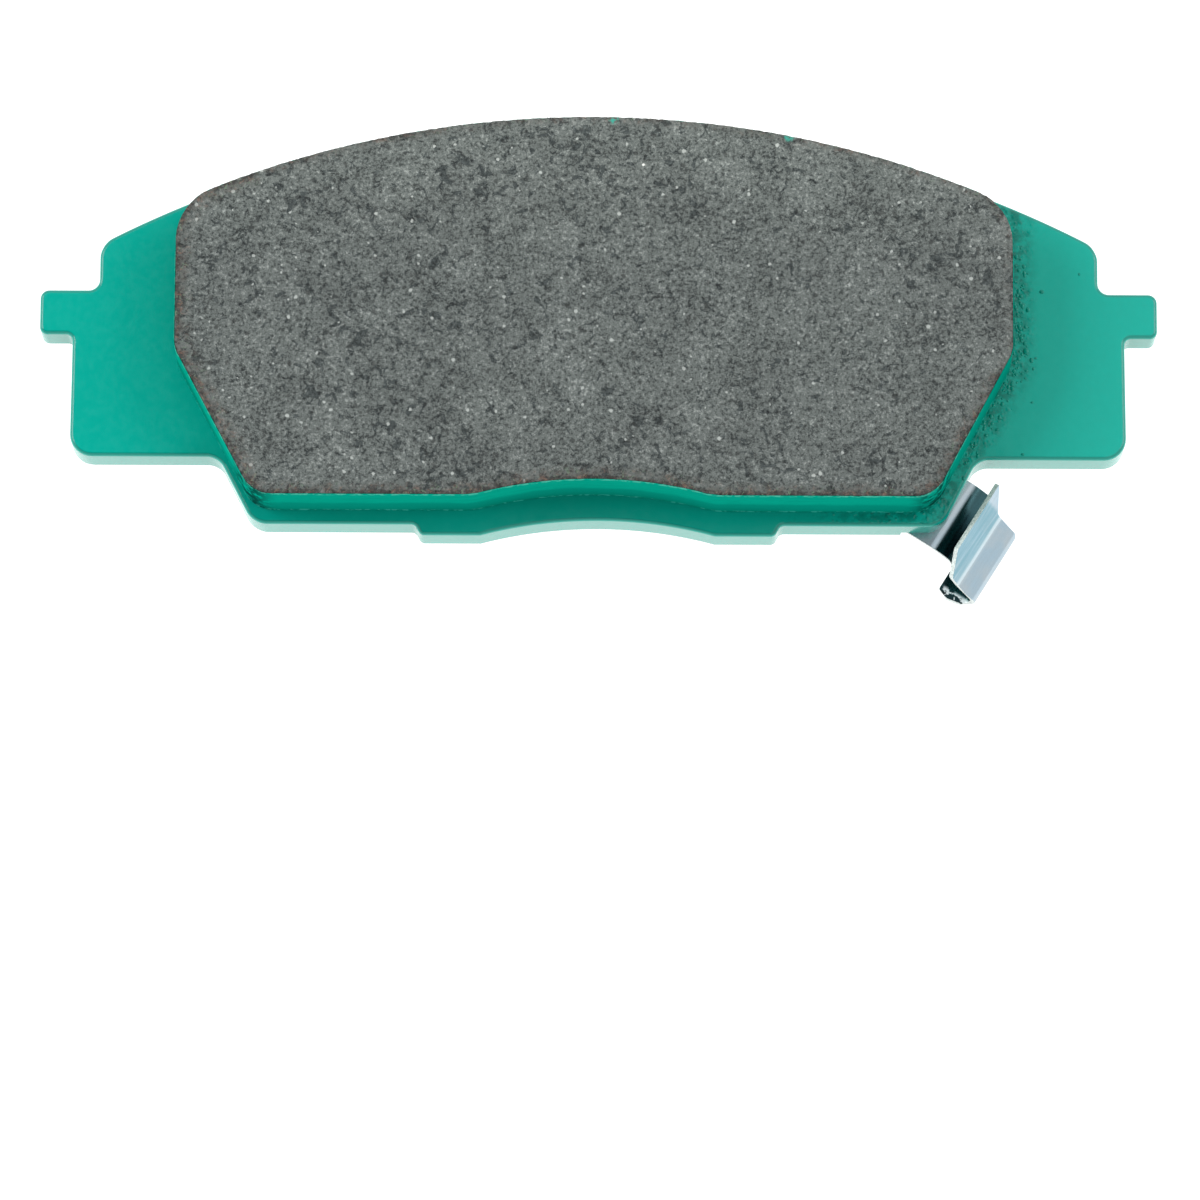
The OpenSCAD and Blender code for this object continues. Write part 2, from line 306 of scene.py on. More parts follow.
class Graph:
    """Adds nodes to a material or a node group. An input is a number, a colour or another node's output."""

    def __init__(self, tree):
        self.tree = tree

    def put(self, socket, value):
        if isinstance(value, bpy.types.NodeSocket):
            self.tree.links.new(value, socket)
        elif isinstance(value, (tuple, list)) and socket.type == "RGBA" and len(value) == 3:
            socket.default_value = (*value, 1)
        else:
            socket.default_value = value

    def node(self, kind, settings=None, **inputs):
        made = self.tree.nodes.new(kind)
        for name, value in (settings or {}).items():
            setattr(made, name, value)
        for name, value in inputs.items():
            self.put(made.inputs[name.replace("_", " ")], value)
        return made

    def math(self, operation, *values):
        made = self.node("ShaderNodeMath", {"operation": operation})
        for socket, value in zip(made.inputs, values):
            self.put(socket, value)
        return made.outputs[0]

    def times(self, first, second):
        return self.math("MULTIPLY", first, second)

    def mix(self, factor, first, second, blend="MIX"):
        made = self.node("ShaderNodeMix", {"data_type": "RGBA", "blend_type": blend})
        for index, value in ((0, factor), (6, first), (7, second)):
            self.put(made.inputs[index], value)
        return made.outputs[2]

    def span(self, value, low, high, to_low=0.0, to_high=1.0, smooth=True):
        """Maps a range of values to another, with soft ends."""
        made = self.node("ShaderNodeMapRange", {"interpolation_type": "SMOOTHSTEP" if smooth else "LINEAR"})
        for index, given in enumerate((value, low, high, to_low, to_high)):
            self.put(made.inputs[index], given)
        return made.outputs[0]

    def band(self, value, outside_low, inside_low, inside_high, outside_high):
        """1 between two inner values, falling to 0 at the outer ones."""
        rising = self.span(value, outside_low, inside_low)
        return self.times(rising, self.span(value, outside_high, inside_high))

    def noise(self, vector, size_mm, detail=2.0, rough=0.5, warp=0.0):
        made = self.node("ShaderNodeTexNoise", Vector=vector, Scale=1000 / size_mm, Detail=detail,
                         Roughness=rough, Distortion=warp)
        return made.outputs["Fac"]

    def cells(self, vector, size_mm):
        """Distance from the middle of the nearest of many round cells."""
        made = self.node("ShaderNodeTexVoronoi", {"feature": "SMOOTH_F1"}, Vector=vector,
                         Scale=1000 / size_mm)
        return made.outputs["Distance"]

    def place(self):
        return self.node("ShaderNodeTexCoord").outputs["Object"]

    def axes(self, vector):
        return self.node("ShaderNodeSeparateXYZ", Vector=vector).outputs

    def bump(self, height, strength, depth_mm):
        made = self.node("ShaderNodeBump", Height=height, Strength=strength, Distance=depth_mm * MM)
        return made.outputs["Normal"]


def new_group(name, inputs, outputs):
    """A shader node group with named inputs and outputs."""
    tree = bpy.data.node_groups.new(name, "ShaderNodeTree")
    for label, kind, value in inputs:
        socket = tree.interface.new_socket(name=label, in_out="INPUT", socket_type=kind)
        if value is not None:
            socket.default_value = value
    for label, kind in outputs:
        tree.interface.new_socket(name=label, in_out="OUTPUT", socket_type=kind)
    graph = Graph(tree)
    given = tree.nodes.new("NodeGroupInput")
    result = tree.nodes.new("NodeGroupOutput")
    return tree, graph, given.outputs, result.inputs


def use_group(graph, tree, **inputs):
    made = graph.tree.nodes.new("ShaderNodeGroup")
    made.node_tree = tree
    for name, value in inputs.items():
        graph.put(made.inputs[name.replace("_", " ")], value)
    return made.outputs


def new_material(name, **plain):
    """A material with its Principled shader's uniform values set."""
    material = bpy.data.materials.new(name)
    material.use_nodes = True
    shader = material.node_tree.nodes["Principled BSDF"]
    for label, value in plain.items():
        shader.inputs[label.replace("_", " ")].default_value = value
    return material, Graph(material.node_tree), shader.inputs


# ---------------------------------------------------------------- shared effects

def build_speck_group():
    """Scattered specks: cells whose own random value falls in a wanted share of them."""
    tree, g, given, result = new_group(
        "specks",
        [("Vector", "NodeSocketVector", None), ("Scale", "NodeSocketFloat", 1000.0),
         ("Share", "NodeSocketFloat", 0.1), ("Size", "NodeSocketFloat", 0.3)],
        [("Mask", "NodeSocketFloat")])
    wobble = g.node("ShaderNodeTexNoise", Vector=given["Vector"], Scale=2500.0, Detail=2.0)
    shifted = g.node("ShaderNodeVectorMath", {"operation": "MULTIPLY_ADD"})
    g.put(shifted.inputs[0], wobble.outputs["Color"])
    shifted.inputs[1].default_value = (0.00035, 0.00035, 0.00035)
    g.put(shifted.inputs[2], given["Vector"])
    cell = g.node("ShaderNodeTexVoronoi", Vector=shifted.outputs[0], Scale=given["Scale"])
    pick = g.axes(cell.outputs["Color"])
    chosen = g.math("LESS_THAN", pick[0], given["Share"])
    grown = g.times(given["Size"], g.math("ADD", 0.4, pick[1]))
    inside = g.span(cell.outputs["Distance"], grown, g.times(grown, 0.6))
    g.put(result["Mask"], g.times(chosen, inside))
    return tree


def build_paint_group():
    """Sprayed gloss paint: a little tone variation, orange peel and a few pits."""
    tree, g, given, result = new_group(
        "sprayed_paint",
        [("Vector", "NodeSocketVector", None), ("Colour", "NodeSocketColor", (0.003, 0.34, 0.26, 1)),
         ("Stipple", "NodeSocketFloat", 0.0)],
        [("Colour", "NodeSocketColor"), ("Roughness", "NodeSocketFloat"), ("Height", "NodeSocketFloat")])
    place = given["Vector"]
    broad = g.noise(place, 18, 3)
    fine = g.noise(place, 0.9, 3, 0.6)
    peel = g.noise(place, 1.6, 2, 0.55)
    tone = g.math("ADD", g.times(broad, 0.12), g.times(fine, 0.10))
    shade = g.span(tone, 0.04, 0.19, 0.93, 1.07, smooth=False)
    shaded = g.node("ShaderNodeVectorMath", {"operation": "SCALE"})
    g.put(shaded.inputs[0], given["Colour"])
    g.put(shaded.inputs["Scale"], shade)
    bumps = g.cells(place, 0.62)
    grit = g.times(g.span(bumps, 0.42, 0.12), given["Stipple"])
    pit_green = (0.0, 0.10, 0.078)
    g.put(result["Colour"], g.mix(g.times(grit, 0.55), shaded.outputs[0], pit_green))
    g.put(result["Roughness"], g.span(fine, 0.3, 0.7, 0.13, 0.22))
    height = g.math("ADD", g.times(peel, 0.35), g.times(grit, 1.6))
    g.put(result["Height"], height)
    return tree


def build_gap_group():
    """Gap: metres outside the lining's outline, its crown left out. Side: x from the lining's middle."""
    tree, g, given, result = new_group("lining_gap", [("Vector", "NodeSocketVector", None)],
                                       [("Gap", "NodeSocketFloat"), ("Side", "NodeSocketFloat")])
    x, y = g.axes(given["Vector"])[:2]
    side = g.math("SUBTRACT", x, LINING_SHIFT * MM)
    across = g.math("SUBTRACT", g.math("ABSOLUTE", side), LINING_X * MM)
    down = g.math("SUBTRACT", LINING_TURN[1] * MM, y)
    slanted = g.math("ADD", g.times(across, math.cos(LINING_SLANT)), g.times(down, math.sin(LINING_SLANT)))
    below = g.math("SUBTRACT", LINING_LOW_Y * MM, y)
    rise = g.math("SUBTRACT", y, LINING_HOLLOW_Y * MM)
    from_hub = g.math("SQRT", g.math("ADD", g.math("POWER", side, 2.0), g.math("POWER", rise, 2.0)))
    hollow = g.math("SUBTRACT", LINING_HOLLOW_R * MM, from_hub)
    gap = g.math("MAXIMUM", g.math("MAXIMUM", across, slanted), g.math("MAXIMUM", below, hollow))
    g.put(result["Gap"], gap)
    g.put(result["Side"], side)
    return tree


def build_mineral_group():
    """Pressed mineral mix: a fine grain of light and dark particles over a base tone."""
    tree, g, given, result = new_group(
        "mineral_mix",
        [("Vector", "NodeSocketVector", None),
         ("Dark", "NodeSocketColor", (0.03, 0.034, 0.032, 1)),
         ("Base", "NodeSocketColor", (0.13, 0.15, 0.142, 1)),
         ("Light", "NodeSocketColor", (0.3, 0.32, 0.3, 1))],
        [("Colour", "NodeSocketColor"), ("Height", "NodeSocketFloat")])
    place = given["Vector"]
    grain = g.noise(place, 0.45, 3, 0.8)
    flakes = g.noise(place, 1.3, 3, 0.7)
    patches = g.noise(place, 8, 4, 0.6)
    level = g.math("ADD", g.times(grain, 0.62), g.times(flakes, 0.26))
    level = g.math("ADD", level, g.times(patches, 0.16))
    low = g.mix(g.span(level, 0.42, 0.53), given["Dark"], given["Base"])
    g.put(result["Colour"], g.mix(g.span(level, 0.54, 0.67), low, given["Light"]))
    g.put(result["Height"], level)
    return tree


SPECKS = build_speck_group()
PAINT = build_paint_group()
LINING_GAP = build_gap_group()
MINERAL = build_mineral_group()


# ---------------------------------------------------------------- materials

# the paint: on clean steel, a darker copy as painted shade on the lining's walls, and over grit
GREEN = (0.001, 0.325, 0.256, 1)
SHADED_WALL_GREEN = (0.0012, 0.285, 0.20, 1)
GRIT_GREEN = (0.0006, 0.20, 0.15, 1)

# what the paint darkens or pales to: real pits, streaks and a seam, and painted shade, shadow and highlight
PITTED_GREEN = (0.0005, 0.13, 0.10)
SHADED_GREEN = (0.0004, 0.085, 0.062)
ROLLOVER_SHADE_GREEN = (0.0005, 0.11, 0.085)
SHADE_AND_STREAK_GREEN = (0.0003, 0.13, 0.10)
BRIM_HIGHLIGHT_GREEN = (0.11, 0.47, 0.37)
SEAM_GREEN = (0.05, 0.46, 0.37)
CORNER_SHADE_DARK = (0.002, 0.026, 0.022)


def round_mask(g, place, centre_x, centre_y, outer, inner):
    """1 within the inner radius of an upright line through (x, y), falling to 0 at the outer one."""
    x, y = g.axes(place)[:2]
    across = g.math("SUBTRACT", x, centre_x * MM)
    along = g.math("SUBTRACT", y, centre_y * MM)
    away = g.math("SQRT", g.math("ADD", g.math("POWER", across, 2.0), g.math("POWER", along, 2.0)))
    return g.span(away, outer * MM, inner * MM)


def plate_paint():
    """Gloss paint, gritty beside the lining's right side, with painted shade there and on the ledge below the
    lining, and a painted shade line along the rolled front edge.
    """
    material, g, shader = new_material("plate_paint", IOR=1.5)
    shader["Specular IOR Level"].default_value = 0.42
    place = g.place()
    y, z = g.axes(place)[1:3]
    front = g.span(z, (PLATE_T - 0.12) * MM, (PLATE_T - 0.02) * MM)
    reach = use_group(g, LINING_GAP, Vector=place)
    patch = g.span(g.noise(place, 2.2, 4, 0.65), 0.40, 0.60)
    right = g.span(reach["Side"], 20 * MM, 40 * MM)
    beside = g.times(g.span(reach["Gap"], 4.6 * MM, 0.3 * MM), right)
    low = g.span(y, -14 * MM, -21 * MM)
    ledge_shade = g.times(g.span(reach["Gap"], 7 * MM, 3.2 * MM), low)
    stipple = g.times(g.times(beside, patch), front)
    coat = use_group(g, PAINT, Vector=place, Colour=GREEN, Stipple=stipple)
    share = g.times(stipple, 0.8)
    grit = use_group(g, SPECKS, Vector=place, Scale=1000 / 1.1, Share=share, Size=0.42)
    colour = g.mix(g.times(grit["Mask"], 0.3), coat["Colour"], PITTED_GREEN)
    # painted shade: beside the lining's right side (mottled) and on the ledge below it, the coat is darkened
    # as if shaded by the lining
    mottle = g.span(g.noise(place, 1.2, 3, 0.6), 0.36, 0.62, 0.25, 1.0)
    side_shade = g.times(g.times(beside, mottle), 0.74)
    shade = g.math("MAXIMUM", side_shade, g.times(ledge_shade, 0.27))
    colour = g.mix(g.times(shade, front), colour, SHADED_GREEN)
    # painted shade: a darker line just below the top of the rolled front edge
    edge_depths = (0.24, 0.15, 0.03, 0.005)
    rollover_shade = g.band(z, *((PLATE_T - depth) * MM for depth in edge_depths))
    colour = g.mix(g.times(rollover_shade, 0.5), colour, ROLLOVER_SHADE_GREEN)
    g.put(shader["Base Color"], colour)
    g.put(shader["Roughness"], coat["Roughness"])
    height = g.math("SUBTRACT", coat["Height"], g.times(grit["Mask"], 1.2))
    g.put(shader["Normal"], g.bump(g.times(height, front), 0.5, 0.03))
    return material


def grit_paint():
    """Paint over grit: darker than the coat around it."""
    material, g, shader = new_material("grit_paint", IOR=1.5)
    place = g.place()
    shader["Specular IOR Level"].default_value = 0.25
    coat = use_group(g, PAINT, Vector=place, Colour=GRIT_GREEN, Stipple=0.0)
    g.put(shader["Base Color"], coat["Colour"])
    g.put(shader["Roughness"], coat["Roughness"])
    return material


def side_paint():
    """Paint on the lining's walls: painted shade at the foot and on the slanted right stretch, with streaks,
    painted shade at the two lower corners, a ragged painted highlight along the brim, and a pale seam.
    """
    material, g, shader = new_material("side_paint", IOR=1.5)
    shader["Specular IOR Level"].default_value = 0.0
    place = g.place()
    x, y, z = g.axes(place)[:3]
    wander = g.span(g.noise(place, 4, 3), 0.3, 0.7, -0.4 * MM, 0.4 * MM, smooth=False)
    height = g.math("ADD", z, wander)
    coat = use_group(g, PAINT, Vector=place, Colour=SHADED_WALL_GREEN, Stipple=0.12)
    # painted shade: the wall's foot and its slanted right stretch are darkened, mixed with real streaks
    low = g.span(height, 11.4 * MM, 9.6 * MM)
    streak_place = g.node("ShaderNodeMapping", {"vector_type": "TEXTURE"}, Vector=place)
    streak_place.inputs["Scale"].default_value = (8, 8, 1)
    streak = g.span(g.noise(streak_place.outputs[0], 0.7, 3, 0.6), 0.45, 0.65)
    right_turn_shade = g.times(g.span(x, 45.5 * MM, 47.5 * MM), g.span(y, -1 * MM, -7 * MM))
    low = g.math("MAXIMUM", low, g.times(streak, 0.3))
    low = g.math("MAXIMUM", low, right_turn_shade)
    toned = g.mix(g.times(low, 0.5), coat["Colour"], SHADE_AND_STREAK_GREEN)
    # painted shade: dark patches in the two lower corners of the lining's walls
    corner_shade = g.math("MAXIMUM", round_mask(g, place, 45.2, -23.6, 4.8, 1.2),
                   round_mask(g, place, -46.4, -23.4, 4.8, 1.2))
    broken = g.span(g.noise(place, 1.5, 4, 0.7), 0.42, 0.54)
    toned = g.mix(g.times(g.times(corner_shade, broken), 0.85), toned, CORNER_SHADE_DARK)
    # painted highlight: a ragged pale line along the brim on the lower and left sides
    ragged = g.span(g.noise(place, 0.9, 3, 0.65), 0.44, 0.6)
    brim_highlight = g.times(g.span(z, (FACE_Z - 1.1) * MM, (FACE_Z - 0.5) * MM), ragged)
    highlit_sides = g.math("MAXIMUM", g.span(y, -11 * MM, -17 * MM), g.span(x, -45 * MM, -52 * MM))
    brim_highlight = g.times(brim_highlight, highlit_sides)
    toned = g.mix(g.times(brim_highlight, 0.55), toned, BRIM_HIGHLIGHT_GREEN)
    seam = g.times(g.span(z, 6.9 * MM, 6.5 * MM), g.span(g.noise(place, 0.8, 2), 0.5, 0.58))
    toned = g.mix(g.times(seam, 0.5), toned, SEAM_GREEN)
    g.put(shader["Base Color"], toned)
    g.put(shader["Roughness"], g.span(g.noise(place, 2, 3), 0.3, 0.7, 0.3, 0.5))
    g.put(shader["Normal"], g.bump(coat["Height"], 0.7, 0.05))
    return material


def friction_mix():
    """The ground face: mineral grain, dark torn patches, pale fibres, a rusty rim, specks of overspray,
    painted light over its upper part and a painted shadow line along the chipped rim.
    """
    material, g, shader = new_material("friction_mix", IOR=1.45)
    place = g.place()
    mix = use_group(g, MINERAL, Vector=place, Dark=(0.029, 0.034, 0.033, 1),
                    Base=(0.101, 0.116, 0.110, 1), Light=(0.250, 0.272, 0.260, 1))
    region = g.span(g.noise(place, 13, 3, 0.55), 0.42, 0.62)
    torn_level = g.math("ADD", g.noise(place, 1.5, 5, 0.66, 0.8), g.times(region, 0.05))
    torn = g.span(torn_level, 0.588, 0.635)
    region_grey = (0.05, 0.056, 0.055)
    colour = g.mix(g.times(region, 0.12), mix["Colour"], region_grey)
    torn_shade = (0.25, 0.29, 0.31)
    colour = g.mix(g.times(torn, 0.85), colour, torn_shade, "MULTIPLY")
    spots = g.span(g.noise(place, 0.85, 4, 0.6, 0.6), 0.590, 0.632)
    colour = g.mix(g.times(spots, 0.72), colour, torn_shade, "MULTIPLY")
    crowd = g.span(g.noise(place, 5, 3, 0.6), 0.42, 0.62, 0.14, 0.4)
    pits = use_group(g, SPECKS, Vector=place, Scale=1000 / 0.8, Share=crowd, Size=0.36)
    pit_black = (0.020, 0.023, 0.022)
    colour = g.mix(g.times(pits["Mask"], 0.62), colour, pit_black)
    fibres = use_group(g, SPECKS, Vector=place, Scale=1000 / 0.95, Share=0.10, Size=0.26)
    fibre_grey = (0.42, 0.45, 0.43)
    colour = g.mix(g.times(fibres["Mask"], 0.7), colour, fibre_grey)
    chips = use_group(g, SPECKS, Vector=place, Scale=1000 / 6.0, Share=0.035, Size=0.075)
    chip_white = (0.60, 0.62, 0.59)
    colour = g.mix(chips["Mask"], colour, chip_white)
    # painted light: the face is lightened toward its upper part
    upper_light = g.span(g.axes(place)[1], 2 * MM, 24 * MM, 0.0, 0.2)
    painted_light_lift = (1.9, 1.9, 1.8)
    colour = g.mix(upper_light, colour, painted_light_lift, "MULTIPLY")
    rim = g.node("ShaderNodeAttribute", {"attribute_name": "rim"}).outputs["Fac"]
    worn = g.times(rim, g.span(g.noise(place, 0.9, 4, 0.7), 0.40, 0.56))
    rim_brown = (0.048, 0.036, 0.029)
    colour = g.mix(g.times(worn, 0.55), colour, rim_brown)
    # painted shadow: a dark ragged line along the chipped rim
    edge_shadow = g.times(g.span(rim, 0.86, 0.98), g.span(g.noise(place, 0.8, 3, 0.6), 0.38, 0.56))
    edge_shadow_black = (0.016, 0.015, 0.013)
    colour = g.mix(g.times(edge_shadow, 0.7), colour, edge_shadow_black)
    rust = g.times(rim, g.span(g.noise(place, 0.9, 4, 0.75, 1.0), 0.54, 0.64))
    rust_red = (0.19, 0.11, 0.08)
    colour = g.mix(g.times(rust, 0.5), colour, rust_red)
    overspray = g.times(rim, g.span(g.noise(place, 0.8, 2, 0.5, 2.0), 0.60, 0.70))
    overspray_olive = (0.15, 0.24, 0.15)
    colour = g.mix(g.times(overspray, 0.5), colour, overspray_olive)
    fleck_green = (0.03, 0.30, 0.23)
    for fleck_x, fleck_y in ((25.2, 23.7), (1.9, 26.0)):
        fleck = g.times(round_mask(g, place, fleck_x, fleck_y, 0.9, 0.3),
                        g.span(g.noise(place, 0.5, 3, 0.6), 0.45, 0.58))
        colour = g.mix(fleck, colour, fleck_green)
    g.put(shader["Base Color"], colour)
    g.put(shader["Roughness"], g.span(mix["Height"], 0.4, 0.7, 0.92, 0.68))
    lowered = g.math("ADD", g.times(pits["Mask"], 0.5), g.times(torn, 0.6))
    g.put(shader["Normal"], g.bump(g.math("SUBTRACT", mix["Height"], lowered), 0.7, 0.09))
    return material


def underlayer_mix():
    """A coarser, browner mix with brass chips in it."""
    material, g, shader = new_material("underlayer_mix", IOR=1.45)
    place = g.place()
    mix = use_group(g, MINERAL, Vector=place, Dark=(0.035, 0.026, 0.02, 1),
                    Base=(0.12, 0.095, 0.075, 1), Light=(0.24, 0.2, 0.16, 1))
    brass = use_group(g, SPECKS, Vector=place, Scale=1000 / 1.3, Share=0.12, Size=0.22)
    brass_yellow = (0.36, 0.27, 0.14)
    colour = g.mix(g.times(brass["Mask"], 0.8), mix["Colour"], brass_yellow)
    g.put(shader["Base Color"], colour)
    g.put(shader["Roughness"], g.span(mix["Height"], 0.4, 0.7, 0.95, 0.75))
    g.put(shader["Normal"], g.bump(mix["Height"], 0.8, 0.12))
    return material


def bond_resin():
    """Cured phenolic adhesive, brown and slightly glossy."""
    material, g, shader = new_material("bond_resin", IOR=1.5)
    place = g.place()
    cloud = g.noise(place, 2.5, 3)
    thick_brown = (0.07, 0.035, 0.012)
    thin_amber = (0.16, 0.09, 0.035)
    g.put(shader["Base Color"], g.mix(cloud, thick_brown, thin_amber))
    g.put(shader["Roughness"], g.span(cloud, 0.3, 0.7, 0.35, 0.55))
    return material


def strip_axis(g, x, y, direction):
    """Distance from the indicator's tip along one of its own axes."""
    along_x = g.times(g.math("SUBTRACT", x, TIP.x * MM), direction.x)
    along_y = g.times(g.math("SUBTRACT", y, TIP.y * MM), direction.y)
    return g.math("ADD", along_x, along_y)


def zinc_plate(name, tint, streak_turn):
    """Bright zinc on steel: rolled streaks, blue clouding, a painted reflection on the tongue, a painted
    highlight at its crease, painted shade in the folds and a burr painted bright as a highlight.
    """
    material, g, shader = new_material(name, Metallic=1.0, Anisotropic=0.2)
    place = g.place()
    turned = g.node("ShaderNodeMapping", {"vector_type": "TEXTURE"}, Vector=place)
    turned.inputs["Rotation"].default_value = (0, 0, streak_turn)
    turned.inputs["Scale"].default_value = (1, 16, 1)
    streaks = g.noise(turned.outputs[0], 0.5, 3, 0.6)
    cloud = g.noise(place, 4, 3)
    blue = g.mix(g.span(cloud, 0.35, 0.65), tint, (tint[0] * 0.84, tint[1] * 0.96, tint[2] * 1.04))
    streak_grey = (0.30, 0.36, 0.385)
    dull = g.times(g.span(streaks, 0.35, 0.7), 0.22)
    colour = g.mix(dull, blue, streak_grey)
    x, y, z = g.axes(place)[:3]
    along = strip_axis(g, x, y, DOWNWARD)
    across = strip_axis(g, x, y, OUTWARD)
    # painted reflection: the raised tongue above its crease is tinted bluer; a painted highlight makes the
    # crease itself paler
    tongue_reflection_blue = (0.18, 0.33, 0.39)
    tongue = g.times(g.span(z, 4.4 * MM, 5.3 * MM), g.span(along, 2.4 * MM, 3.2 * MM))
    sheen = g.span(streaks, 0.35, 0.62, 0.55, 0.95)
    colour = g.mix(g.times(tongue, sheen), colour, tongue_reflection_blue)
    # painted highlight along the crease
    crease_highlight_pale = (0.60, 0.68, 0.70)
    crease_highlight = g.band(z, 4.3 * MM, 4.7 * MM, 4.9 * MM, 5.3 * MM)
    colour = g.mix(g.times(crease_highlight, 0.5), colour, crease_highlight_pale)
    # painted shade lies in the step down from the plate and on the floor of the channel
    step = g.band(across, -2.8 * MM, -2.15 * MM, 0.8 * MM, 1.2 * MM)
    floor = g.times(g.span(z, 1.5 * MM, 1.2 * MM), g.span(across, 6.4 * MM, 6.0 * MM))
    fold_shade = g.math("MAXIMUM", g.times(step, g.span(z, 2.6 * MM, 2.0 * MM)),
                  g.times(floor, g.span(across, -2.0 * MM, -1.0 * MM)))
    channel = g.times(floor, g.span(across, 0.9 * MM, 1.4 * MM))
    # a real burr at the channel's lower end, painted bright white as a highlight
    burr = g.times(g.span(along, 13.9 * MM, 14.5 * MM), g.span(g.noise(place, 0.9, 3), 0.47, 0.53))
    burr = g.times(burr, channel)
    clean = g.math("SUBTRACT", 1.0, burr)
    fold_shade_dark = (0.004, 0.048, 0.054)
    colour = g.mix(g.times(g.times(fold_shade, clean), 0.92), colour, fold_shade_dark)
    burr_highlight_white = (0.80, 0.86, 0.88)
    colour = g.mix(burr, colour, burr_highlight_white)
    g.put(shader["Metallic"], clean)
    g.put(shader["Base Color"], colour)
    g.put(shader["Roughness"], g.span(streaks, 0.3, 0.7, 0.15, 0.27))
    g.put(shader["Normal"], g.bump(streaks, 0.12, 0.01))
    return material


def sheared_edge():
    """Where the strip was cut: bare, torn and dull."""
    material, g, shader = new_material("sheared_edge", Metallic=0.35)
    place = g.place()
    tear = g.noise(place, 0.25, 3, 0.65)
    torn_grey = (0.42, 0.47, 0.46)
    torn_bright = (0.74, 0.80, 0.78)
    g.put(shader["Base Color"], g.mix(g.span(tear, 0.3, 0.65), torn_grey, torn_bright))
    g.put(shader["Roughness"], g.span(tear, 0.3, 0.7, 0.45, 0.65))
    g.put(shader["Normal"], g.bump(tear, 0.4, 0.03))
    return material


# ---------------------------------------------------------------- pieces

def make_plate(material):
    """The stamped plate: a rolled front edge, keying holes, and the indicator's pocket in the back."""
    front_roll = 0.55
    back_break = 0.2
    rivet_hole_r = RIVET_R + 0.05
    bm = outline_mesh(plate_points(), 0)
    raise_face(bm, PLATE_T)
    round_edges(bm, level_edges(bm, PLATE_T), front_roll, 5)
    round_edges(bm, level_edges(bm, 0), back_break, 2)
    cutters = [round_tool(x, y, r, r, -1, PLATE_T + 1) for x, y, r in KEY_HOLES]
    cutters.append(round_tool(RIVET_X, RIVET_Y, rivet_hole_r, rivet_hole_r, -1, PLATE_T + 1, 48))
    pocket = bmesh.new()
    bmesh.ops.create_cube(pocket, size=1)
    bmesh.ops.scale(pocket, vec=(POCKET_LONG, POCKET_WIDE, 2 * POCKET_DEEP), verts=pocket.verts)
    upright = [e for e in pocket.edges if e.verts[0].co.z * e.verts[1].co.z < 0]
    inner = [e for e in upright if all(v.co.x < 0 for v in e.verts)]
    round_edges(pocket, inner, 1.2, 6)
    middle = indicator_point(-POCKET_LONG / 2, BASE_MIDDLE_V, 0)
    turn = Matrix.Translation(middle) @ Matrix.Rotation(SLANT, 4, "Z")
    bmesh.ops.transform(pocket, matrix=turn, verts=pocket.verts)
    cutters.append(pocket)
    cut_with(bm, cutters)
    return finish_piece(bm, "backing_plate_painted", material, "backing_plate", 30)


def rim_distance(point, corners):
    """Distance from a point to the nearest side of a closed outline."""
    best = 1e9
    for i, corner in enumerate(corners):
        start = corners[i - 1]
        side = corner - start
        along = max(0.0, min(1.0, (point - start).dot(side) / max(side.length_squared, 1e-12)))
        best = min(best, (point - start - side * along).length)
    return best


def cut_into_grid(bm, pitch):
    """Cuts a flat mesh across both ways so that its surface can carry relief."""
    for axis in (0, 1):
        low = min(v.co[axis] for v in bm.verts)
        high = max(v.co[axis] for v in bm.verts)
        for i in range(1, int((high - low) / pitch)):
            slice_across(bm, axis, low + i * pitch, 0.02)


def make_friction_block(material):
    """The wearing layer, with a ground face that has real pits and a chipped rim."""
    bm = outline_mesh(lining_points(), FACE_Z)
    corners = [v.co.xy.copy() for v in bm.faces[:][0].verts]
    cut_into_grid(bm, RELIEF_PITCH)
    rim_layer = bm.verts.layers.float.new("rim")
    border = {v for v in bm.verts if v.is_boundary}
    far_inside = 9.0
    for vert in bm.verts:
        x, y = vert.co.x, vert.co.y
        grain = noise.noise(Vector((x * 1.7, y * 1.7, 3.1)))
        pit = noise.noise(Vector((x * 0.9, y * 0.9, 9.4)))
        drop = 0.012 + 0.012 * grain + 0.16 * max(0.0, pit - 0.42)
        near = far_inside
        if abs(x - LINING_SHIFT) > LINING_X - 12 or y < -18 or y > 10:
            near = rim_distance(vert.co.xy, corners)
        fringe = 2.2 if x < -45 else 1.6 if y < -8 else 1.1
        strength = 1.0 if x < -45 or y < -8 else 0.7 if y > 12 else 0.35
        vert[rim_layer] = strength * min(1.0, max(0.0, 1.25 - 1.1 * near / fringe))
        if vert in border:
            chip = noise.noise(Vector((x * 1.3, y * 1.3, 5.5)))
            drop = 0.1 + 0.22 * max(0.0, chip + 0.1)
            if y > 8:
                vert.co.y -= 0.2 * abs(noise.noise(Vector((x * 1.4, y * 1.4, 8.1))))
        elif near < 0.7:
            drop += 0.05
        vert.co.z -= max(0.0, drop)
    rim = [e for e in bm.edges if e.is_boundary]
    made = bmesh.ops.extrude_edge_only(bm, edges=rim)
    wall_foot = [v for v in made["geom"] if isinstance(v, bmesh.types.BMVert)]
    for vert in wall_foot:
        vert.co.z = UNDER_Z
        vert[rim_layer] = 1
    bmesh.ops.contextual_create(bm, geom=[e for e in made["geom"] if isinstance(e, bmesh.types.BMEdge)])
    bmesh.ops.recalc_face_normals(bm, faces=bm.faces)
    return finish_piece(bm, "friction_block_ground", material, "friction_block", 50, even=False)


